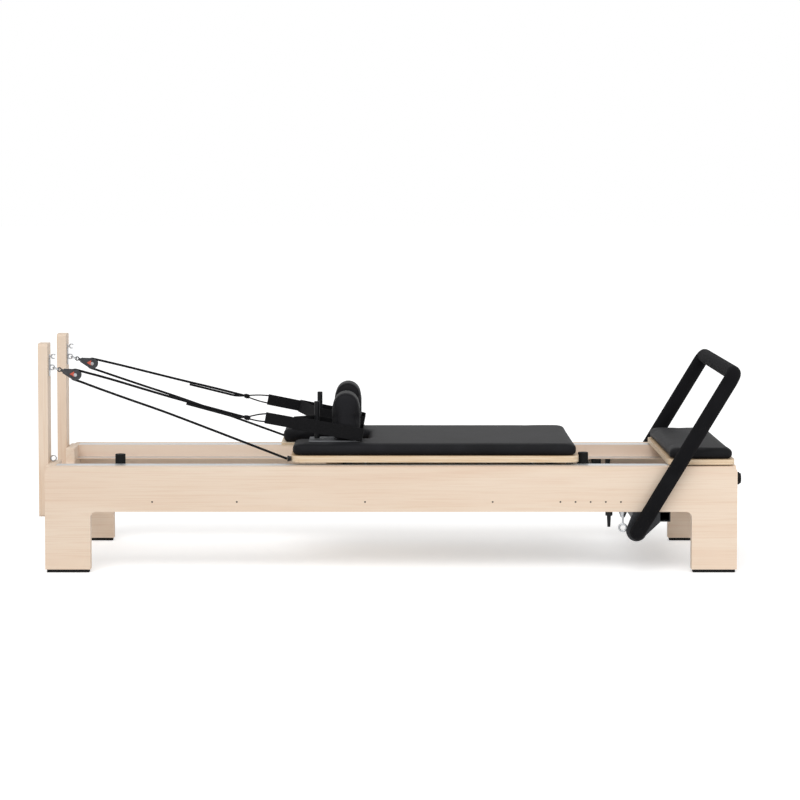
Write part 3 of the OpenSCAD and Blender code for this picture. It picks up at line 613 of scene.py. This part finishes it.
# ---- springs ----
# Five close-wound steel springs hang under the carriage, from the anchors to the spring bar.
# Each has a black plastic grip by its hook, so that it can be unhooked with wet hands.
spring_z = 0.282
coil_from = 0.164
coil_to = 0.640
coil_r = 0.0095
coil_wire = 0.0015
coil_turns = 110
turn_steps = 10
spring_gap = 0.07
spring_rows = range(-2, 3)
spring_bar_x = 0.715
hook_r = 0.0107
coils = []
for row in spring_rows:
    y = spring_gap * row
    line = []
    for i in range(coil_turns * turn_steps + 1):
        a = 2 * math.pi * i / turn_steps
        x = coil_from + (coil_to - coil_from) * i / (coil_turns * turn_steps)
        line.append((x, y + coil_r * math.cos(a), spring_z + coil_r * math.sin(a)))
    coils.append(swept(f"coil_{row}", line, coil_wire, 5))
    line = [(0.150, y, spring_z), (0.158, y, spring_z), (0.165, y, spring_z + 0.004)]
    coils.append(swept(f"tail_{row}", line, 0.0024, 8))
springs = joined("spring_coils", coils)
springs.data.materials.append(bright_steel)
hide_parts("springs")
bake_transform(springs)
grips = []
for row in spring_rows:
    y = spring_gap * row
    profile = [(0.640, 0.0100), (0.643, 0.0128), (0.652, 0.0130), (0.656, 0.0118), (0.664, 0.0118),
               (0.668, 0.0130), (0.684, 0.0128), (0.689, 0.0100), (0.690, 0.0040)]
    grips.append(swept(f"grip_{row}", [(x, y, spring_z) for x, r in profile], [r for x, r in profile], 24))
    hook = [(0.688, y, spring_z)]
    for k in range(15):
        a = math.pi - 2 * math.pi * 0.86 * k / 14
        hook.append((spring_bar_x + hook_r * math.cos(a), y, spring_z + hook_r * math.sin(a)))
    eye = swept(f"spring_hook_{row}", hook, 0.0022, 8)
    eye.data.materials.append(bright_steel)
    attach(eye, "frame")
grips = joined("spring_grips", grips)
grips.data.materials.append(plastic)
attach(grips, "frame")

# ---- carriage pad and platform pad ----
# Firm foam under black leather-look vinyl, pulled over the plywood's edge and stapled below.
# The edges are softly rounded, and the head end of the carriage's pad is cut back for the headrest.


def vinyl_of(name):
    """Leather-look vinyl: fine pebbled grain, faint change of tone and a low sheen."""
    material, nodes, links, shader = finish_of(name, 0.6, gloss=0.1)
    pebble = nodes.new("ShaderNodeTexVoronoi")
    pebble.feature = "SMOOTH_F1"
    pebble.inputs["Scale"].default_value = 620.0
    place = nodes.new("ShaderNodeTexCoord")
    links.new(place.outputs["Object"], pebble.inputs["Vector"])
    worn = grain_of(nodes, links, (1, 1, 1), 9.0, 5.0)
    links.new(tones(nodes, links, worn, [(0.35, "141416"), (0.65, "1B1B1E")]), shader.inputs["Base Color"])
    shader.inputs["Sheen Weight"].default_value = 0.02
    relief(nodes, links, shader, pebble.outputs["Distance"], 0.18, 0.0003)
    return material


def slab_of(name, low, high):
    """A plain block between two corners, to be shaped."""
    low, high = Vector(low), Vector(high)
    bpy.ops.object.select_all(action="DESELECT")
    bpy.ops.mesh.primitive_cube_add(size=1, location=(low + high) / 2, scale=high - low)
    piece = bpy.context.object
    piece.name = name
    bpy.ops.object.transform_apply(location=True, rotation=True, scale=True)
    return piece


def corners_round(piece, radius):
    """Rounds the upright corners in edit mode."""
    alone(piece)
    bpy.ops.object.mode_set(mode="EDIT")
    bpy.ops.mesh.select_all(action="DESELECT")
    work = bmesh.from_edit_mesh(piece.data)
    for edge in work.edges:
        way = (edge.verts[0].co - edge.verts[1].co).normalized()
        if abs(way.z) > 0.99:
            edge.select = True
    bmesh.update_edit_mesh(piece.data)
    bpy.ops.mesh.bevel(offset=radius, segments=8, affect="EDGES")
    bpy.ops.object.mode_set(mode="OBJECT")


def stuffed(piece, voxel, cap, box):
    """Fills a cover: its cloth swells under pressure, kept within the space its cushion has."""
    frames = 20
    alone(piece)
    mesher = piece.modifiers.new("even_mesh", "REMESH")
    mesher.mode = "VOXEL"
    mesher.voxel_size = voxel
    bpy.ops.object.modifier_apply(modifier="even_mesh")
    rest = [v.co.copy() for v in piece.data.vertices]
    cloth = piece.modifiers.new("cover", "CLOTH")
    cloth.settings.use_pressure = True
    cloth.settings.uniform_pressure_force = 4.0
    cloth.settings.effector_weights.gravity = 0.0
    cloth.settings.quality = 4
    cloth.point_cache.frame_start = 1
    cloth.point_cache.frame_end = frames
    for step in range(1, frames + 1):
        scene.frame_set(step)
    bpy.ops.object.modifier_apply(modifier="cover")
    scene.frame_set(1)
    for vertex, start in zip(piece.data.vertices, rest):
        move = vertex.co - start
        if move.length > cap:
            vertex.co = start + move.normalized() * cap
    for vertex in piece.data.vertices:
        for i in range(3):
            vertex.co[i] = min(max(vertex.co[i], box[0][i]), box[1][i])
    smoother = piece.modifiers.new("even", "SMOOTH")
    smoother.iterations = 3
    smoother.factor = 0.5
    bpy.ops.object.modifier_apply(modifier="even")
    finer = piece.modifiers.new("finer", "SUBSURF")
    finer.levels = 1
    finer.render_levels = 1
    bpy.ops.object.modifier_apply(modifier="finer")
    bpy.ops.object.shade_smooth()


vinyl = vinyl_of("black_vinyl")
pad_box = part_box("carriage_pad")
proud = Vector((0.003, 0.003, 0))
low = Vector(pad_box[0]) + Vector((-0.001, -0.001, 0.0004))
high = Vector(pad_box[1]) - Vector((-0.001, -0.001, 0.003))
pad = slab_of("carriage_cushion", low, high)
gap_end = -0.078
gap_half = 0.106
beyond = 0.05
cutter = slab_of("headrest_gap", (low.x - beyond, -gap_half, low.z - beyond),
                 (gap_end, gap_half, high.z + beyond))
alone(pad)
cut = pad.modifiers.new("gap", "BOOLEAN")
cut.operation = "DIFFERENCE"
cut.object = cutter
cut.solver = "EXACT"
bpy.ops.object.modifier_apply(modifier="gap")
bpy.data.objects.remove(cutter, do_unlink=True)
corners_round(pad, 0.028)
rounded_by(pad, 0.014, 4)
stuffed(pad, 0.007, 0.005, (Vector(pad_box[0]) - proud, Vector(pad_box[1]) + proud))
pad.data.materials.append(vinyl)
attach(pad, "carriage")
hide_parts("carriage_pad")

step_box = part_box("platform_pad")
low = Vector(step_box[0]) + Vector((-0.001, -0.001, 0.0004))
high = Vector(step_box[1]) - Vector((-0.001, -0.001, 0.004))
step = slab_of("platform_cushion", low, high)
corners_round(step, 0.026)
rounded_by(step, 0.014, 4)
stuffed(step, 0.006, 0.006, (Vector(step_box[0]) - proud, Vector(step_box[1]) + proud))
step.data.materials.append(vinyl)
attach(step, "frame")
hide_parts("platform_pad")

# ---- headrest cushion ----
# A soft foam cushion in the same vinyl, glued and stapled to its own hinged board. It is fuller
# than the carriage's pad, with a crowned top.
head_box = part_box("headrest_cushion")
low = Vector(head_box[0]) + Vector((0.005, 0.005, 0.0004))
high = Vector(head_box[1]) - Vector((0.005, 0.005, 0.006))
head = slab_of("headrest_cover", low, high)
corners_round(head, 0.024)
rounded_by(head, 0.014, 4)
stuffed(head, 0.005, 0.008, head_box)
head.data.materials.append(vinyl)
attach(head, "headrest")
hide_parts("headrest_cushion")

# ---- shoulder rests ----
# Two upright arches of foam under stretched vinyl, bolted through their plates from below.
# A border panel runs over the top, sewn to the side faces with a line of piping near each edge.


def laid_on(cover, line, middle):
    """Brings a line in, towards a middle, until it lies on a cover."""
    laid = []
    for point in line:
        point = Vector(point)
        inward = Vector((middle[0] - point.x, 0, min(middle[1], point.z) - point.z)).normalized()
        found, place, _, _ = cover.ray_cast(point - 0.03 * inward, inward)
        laid.append(place if found else point)
    return laid


def piped(name, line, radius):
    """A line of piping: vinyl folded round a thin cord and caught in the seam."""
    piece = swept(name, line, radius, 8)
    piece.data.materials.append(vinyl)
    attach(piece, "carriage")
    return piece


def arch_of(middle, radius, y):
    """Points over the top of an arch, from its head side to its foot side."""
    turns = [math.pi - math.pi * k / 24 for k in range(25)]
    return [(middle.x + radius * math.cos(a), y, middle.z + radius * math.sin(a)) for a in turns]


arch_in = 0.004
face_in = 0.005
seat_gap = 0.0004
seam_in = 0.013
for side in ("near", "far"):
    rest_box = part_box(f"{side}_shoulder_rest")
    low, high = Vector(rest_box[0]), Vector(rest_box[1])
    arch_r = (high.x - low.x) / 2 - arch_in
    centre = Vector(((low.x + high.x) / 2, 0, high.z - arch_r - arch_in))
    outline = [(low.x + arch_in, low.y + face_in, low.z + seat_gap)]
    outline += arch_of(centre, arch_r, low.y + face_in)
    outline.append((high.x - arch_in, low.y + face_in, low.z + seat_gap))
    mesh = bpy.data.meshes.new("arch")
    mesh.from_pydata(outline, [], [tuple(range(len(outline)))])
    rest = bpy.data.objects.new(f"{side}_rest_cover", mesh)
    scene.collection.objects.link(rest)
    alone(rest)
    bpy.ops.object.mode_set(mode="EDIT")
    bpy.ops.mesh.select_all(action="SELECT")
    bpy.ops.mesh.extrude_region_move(TRANSFORM_OT_translate={"value": (0, high.y - low.y - 2 * face_in, 0)})
    bpy.ops.mesh.select_all(action="SELECT")
    bpy.ops.mesh.normals_make_consistent(inside=False)
    bpy.ops.object.mode_set(mode="OBJECT")
    rounded_by(rest, 0.020, 6)
    stuffed(rest, 0.005, 0.007, rest_box)
    rest.data.materials.append(vinyl)
    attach(rest, "carriage")
    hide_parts(f"{side}_shoulder_rest")
    for row, inset in enumerate((seam_in, high.y - low.y - seam_in)):
        y = low.y + inset
        seam_r = arch_r + 0.0005
        line = [(centre.x - seam_r, y, low.z + 0.012 + 0.02 * k) for k in range(5)]
        line += arch_of(centre, seam_r, y)
        line += [(centre.x + seam_r, y, low.z + 0.092 - 0.02 * k) for k in range(5)]
        bpy.context.view_layer.update()
        piped(f"{side}_rest_piping_{row + 1}", laid_on(rest, line, (centre.x, centre.z)), 0.0014)

# ---- foot bar padding ----
# A dense black foam sleeve over the bent steel tube, one length all the way round, with a close
# fold inside each bend and rounded closed ends at the pivots.
bar_pivot = (0.817, 0.138)
bar_lean = math.radians(31)
bar_arm = 0.612
bar_half = 0.360
bar_bend = 0.030
bar_r = 0.025
foam, nodes, links, shader = finish_of("foam", 0.88, gloss=0.1)
skin = grain_of(nodes, links, (1, 1, 1), 420.0, 4.0)
patches = grain_of(nodes, links, (1, 1, 1), 14.0, 3.0)
links.new(tones(nodes, links, patches, [(0.3, "0E0E10"), (0.7, "151517")]), shader.inputs["Base Color"])
relief(nodes, links, shader, skin, 0.35, 0.0004)


def on_bar(t, y):
    """A point on the bar, from its distance above the pivots and its place across."""
    return (bar_pivot[0] + t * math.sin(bar_lean), y, bar_pivot[1] + t * math.cos(bar_lean))


line = []
radii = []
for k in range(8):
    a = math.pi / 2 * (1 - k / 8)
    line.append(on_bar(-bar_r * math.sin(a), -bar_half))
    radii.append(max(bar_r * math.cos(a), 0.0008))
for k in range(24):
    line.append(on_bar((bar_arm - bar_bend) * k / 24, -bar_half))
    radii.append(bar_r)
for k in range(13):
    a = math.pi / 2 * k / 12
    up = bar_arm - bar_bend + bar_bend * math.sin(a)
    line.append(on_bar(up, -bar_half + bar_bend * (1 - math.cos(a))))
    radii.append(bar_r)
across = 2 * (bar_half - bar_bend)
middle = [on_bar(bar_arm, -bar_half + bar_bend + across * k / 30) for k in range(1, 30)]
other = [(x, -y, z) for x, y, z in reversed(line)]
sleeve = swept("foot_bar_sleeve", line + middle + other, radii + [bar_r] * len(middle) + radii[::-1], 40)
sleeve.data.materials.append(foam)
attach(sleeve, "foot_bar")
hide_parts("foot_bar_padding")

# ---- floor and light ----
# A white studio floor and sky, a broad soft light from the front and above, a weaker one from the
# foot end, and the soft shadow that the frame throws under itself.
bpy.ops.object.select_all(action="DESELECT")
bpy.ops.mesh.primitive_plane_add(size=60, location=(0, 10, -0.0005))
floor = bpy.context.object
floor.name = "studio_floor"
ground = bpy.data.materials.new("studio_floor")
ground.use_nodes = True
nodes = ground.node_tree.nodes
links = ground.node_tree.links
nodes.clear()
out = nodes.new("ShaderNodeOutputMaterial")
matt = nodes.new("ShaderNodeBsdfDiffuse")
matt.inputs["Color"].default_value = (0.9, 0.9, 0.9, 1)
glow = nodes.new("ShaderNodeEmission")
path = nodes.new("ShaderNodeLightPath")


def seen_by_eye(nodes, links, path):
    """1 for what the eye sees, straight or in a gloss or through glass."""
    first = nodes.new("ShaderNodeMath")
    first.operation = "MAXIMUM"
    links.new(path.outputs["Is Camera Ray"], first.inputs[0])
    links.new(path.outputs["Is Glossy Ray"], first.inputs[1])
    second = nodes.new("ShaderNodeMath")
    second.operation = "MAXIMUM"
    links.new(first.outputs[0], second.inputs[0])
    links.new(path.outputs["Is Transmission Ray"], second.inputs[1])
    return second.outputs[0]


lift = nodes.new("ShaderNodeMath")
lift.operation = "MULTIPLY"
lift.inputs[1].default_value = 0.42
links.new(seen_by_eye(nodes, links, path), lift.inputs[0])
links.new(lift.outputs[0], glow.inputs["Strength"])
both = nodes.new("ShaderNodeAddShader")
links.new(matt.outputs[0], both.inputs[0])
links.new(glow.outputs[0], both.inputs[1])
links.new(both.outputs[0], out.inputs["Surface"])
floor.data.materials.append(ground)

world = bpy.data.worlds.new("studio")
scene.world = world
world.use_nodes = True
nodes = world.node_tree.nodes
links = world.node_tree.links
sky = nodes["Background"]
sky.inputs["Color"].default_value = (1, 1, 1, 1)
path = nodes.new("ShaderNodeLightPath")
level = nodes.new("ShaderNodeMapRange")
level.inputs["To Min"].default_value = 0.52
level.inputs["To Max"].default_value = 1.0
links.new(seen_by_eye(nodes, links, path), level.inputs["Value"])
links.new(level.outputs["Result"], sky.inputs["Strength"])

key_data = bpy.data.lights.new("key", "SUN")
key_data.energy = 1.2
key_data.angle = math.radians(38)
key = bpy.data.objects.new("key", key_data)
key.rotation_euler = (math.radians(42), math.radians(-14), 0)
scene.collection.objects.link(key)
wash_data = bpy.data.lights.new("side", "AREA")
wash_data.energy = 38
wash_data.size = 2.6
wash = bpy.data.objects.new("side", wash_data)
wash.location = (3.0, -3.4, 2.6)
wash_aim = Vector((0.4, 0, 0.3)) - Vector(wash.location)
wash.rotation_euler = wash_aim.to_track_quat("-Z", "Y").to_euler()
scene.collection.objects.link(wash)
scene.view_settings.view_transform = "Standard"
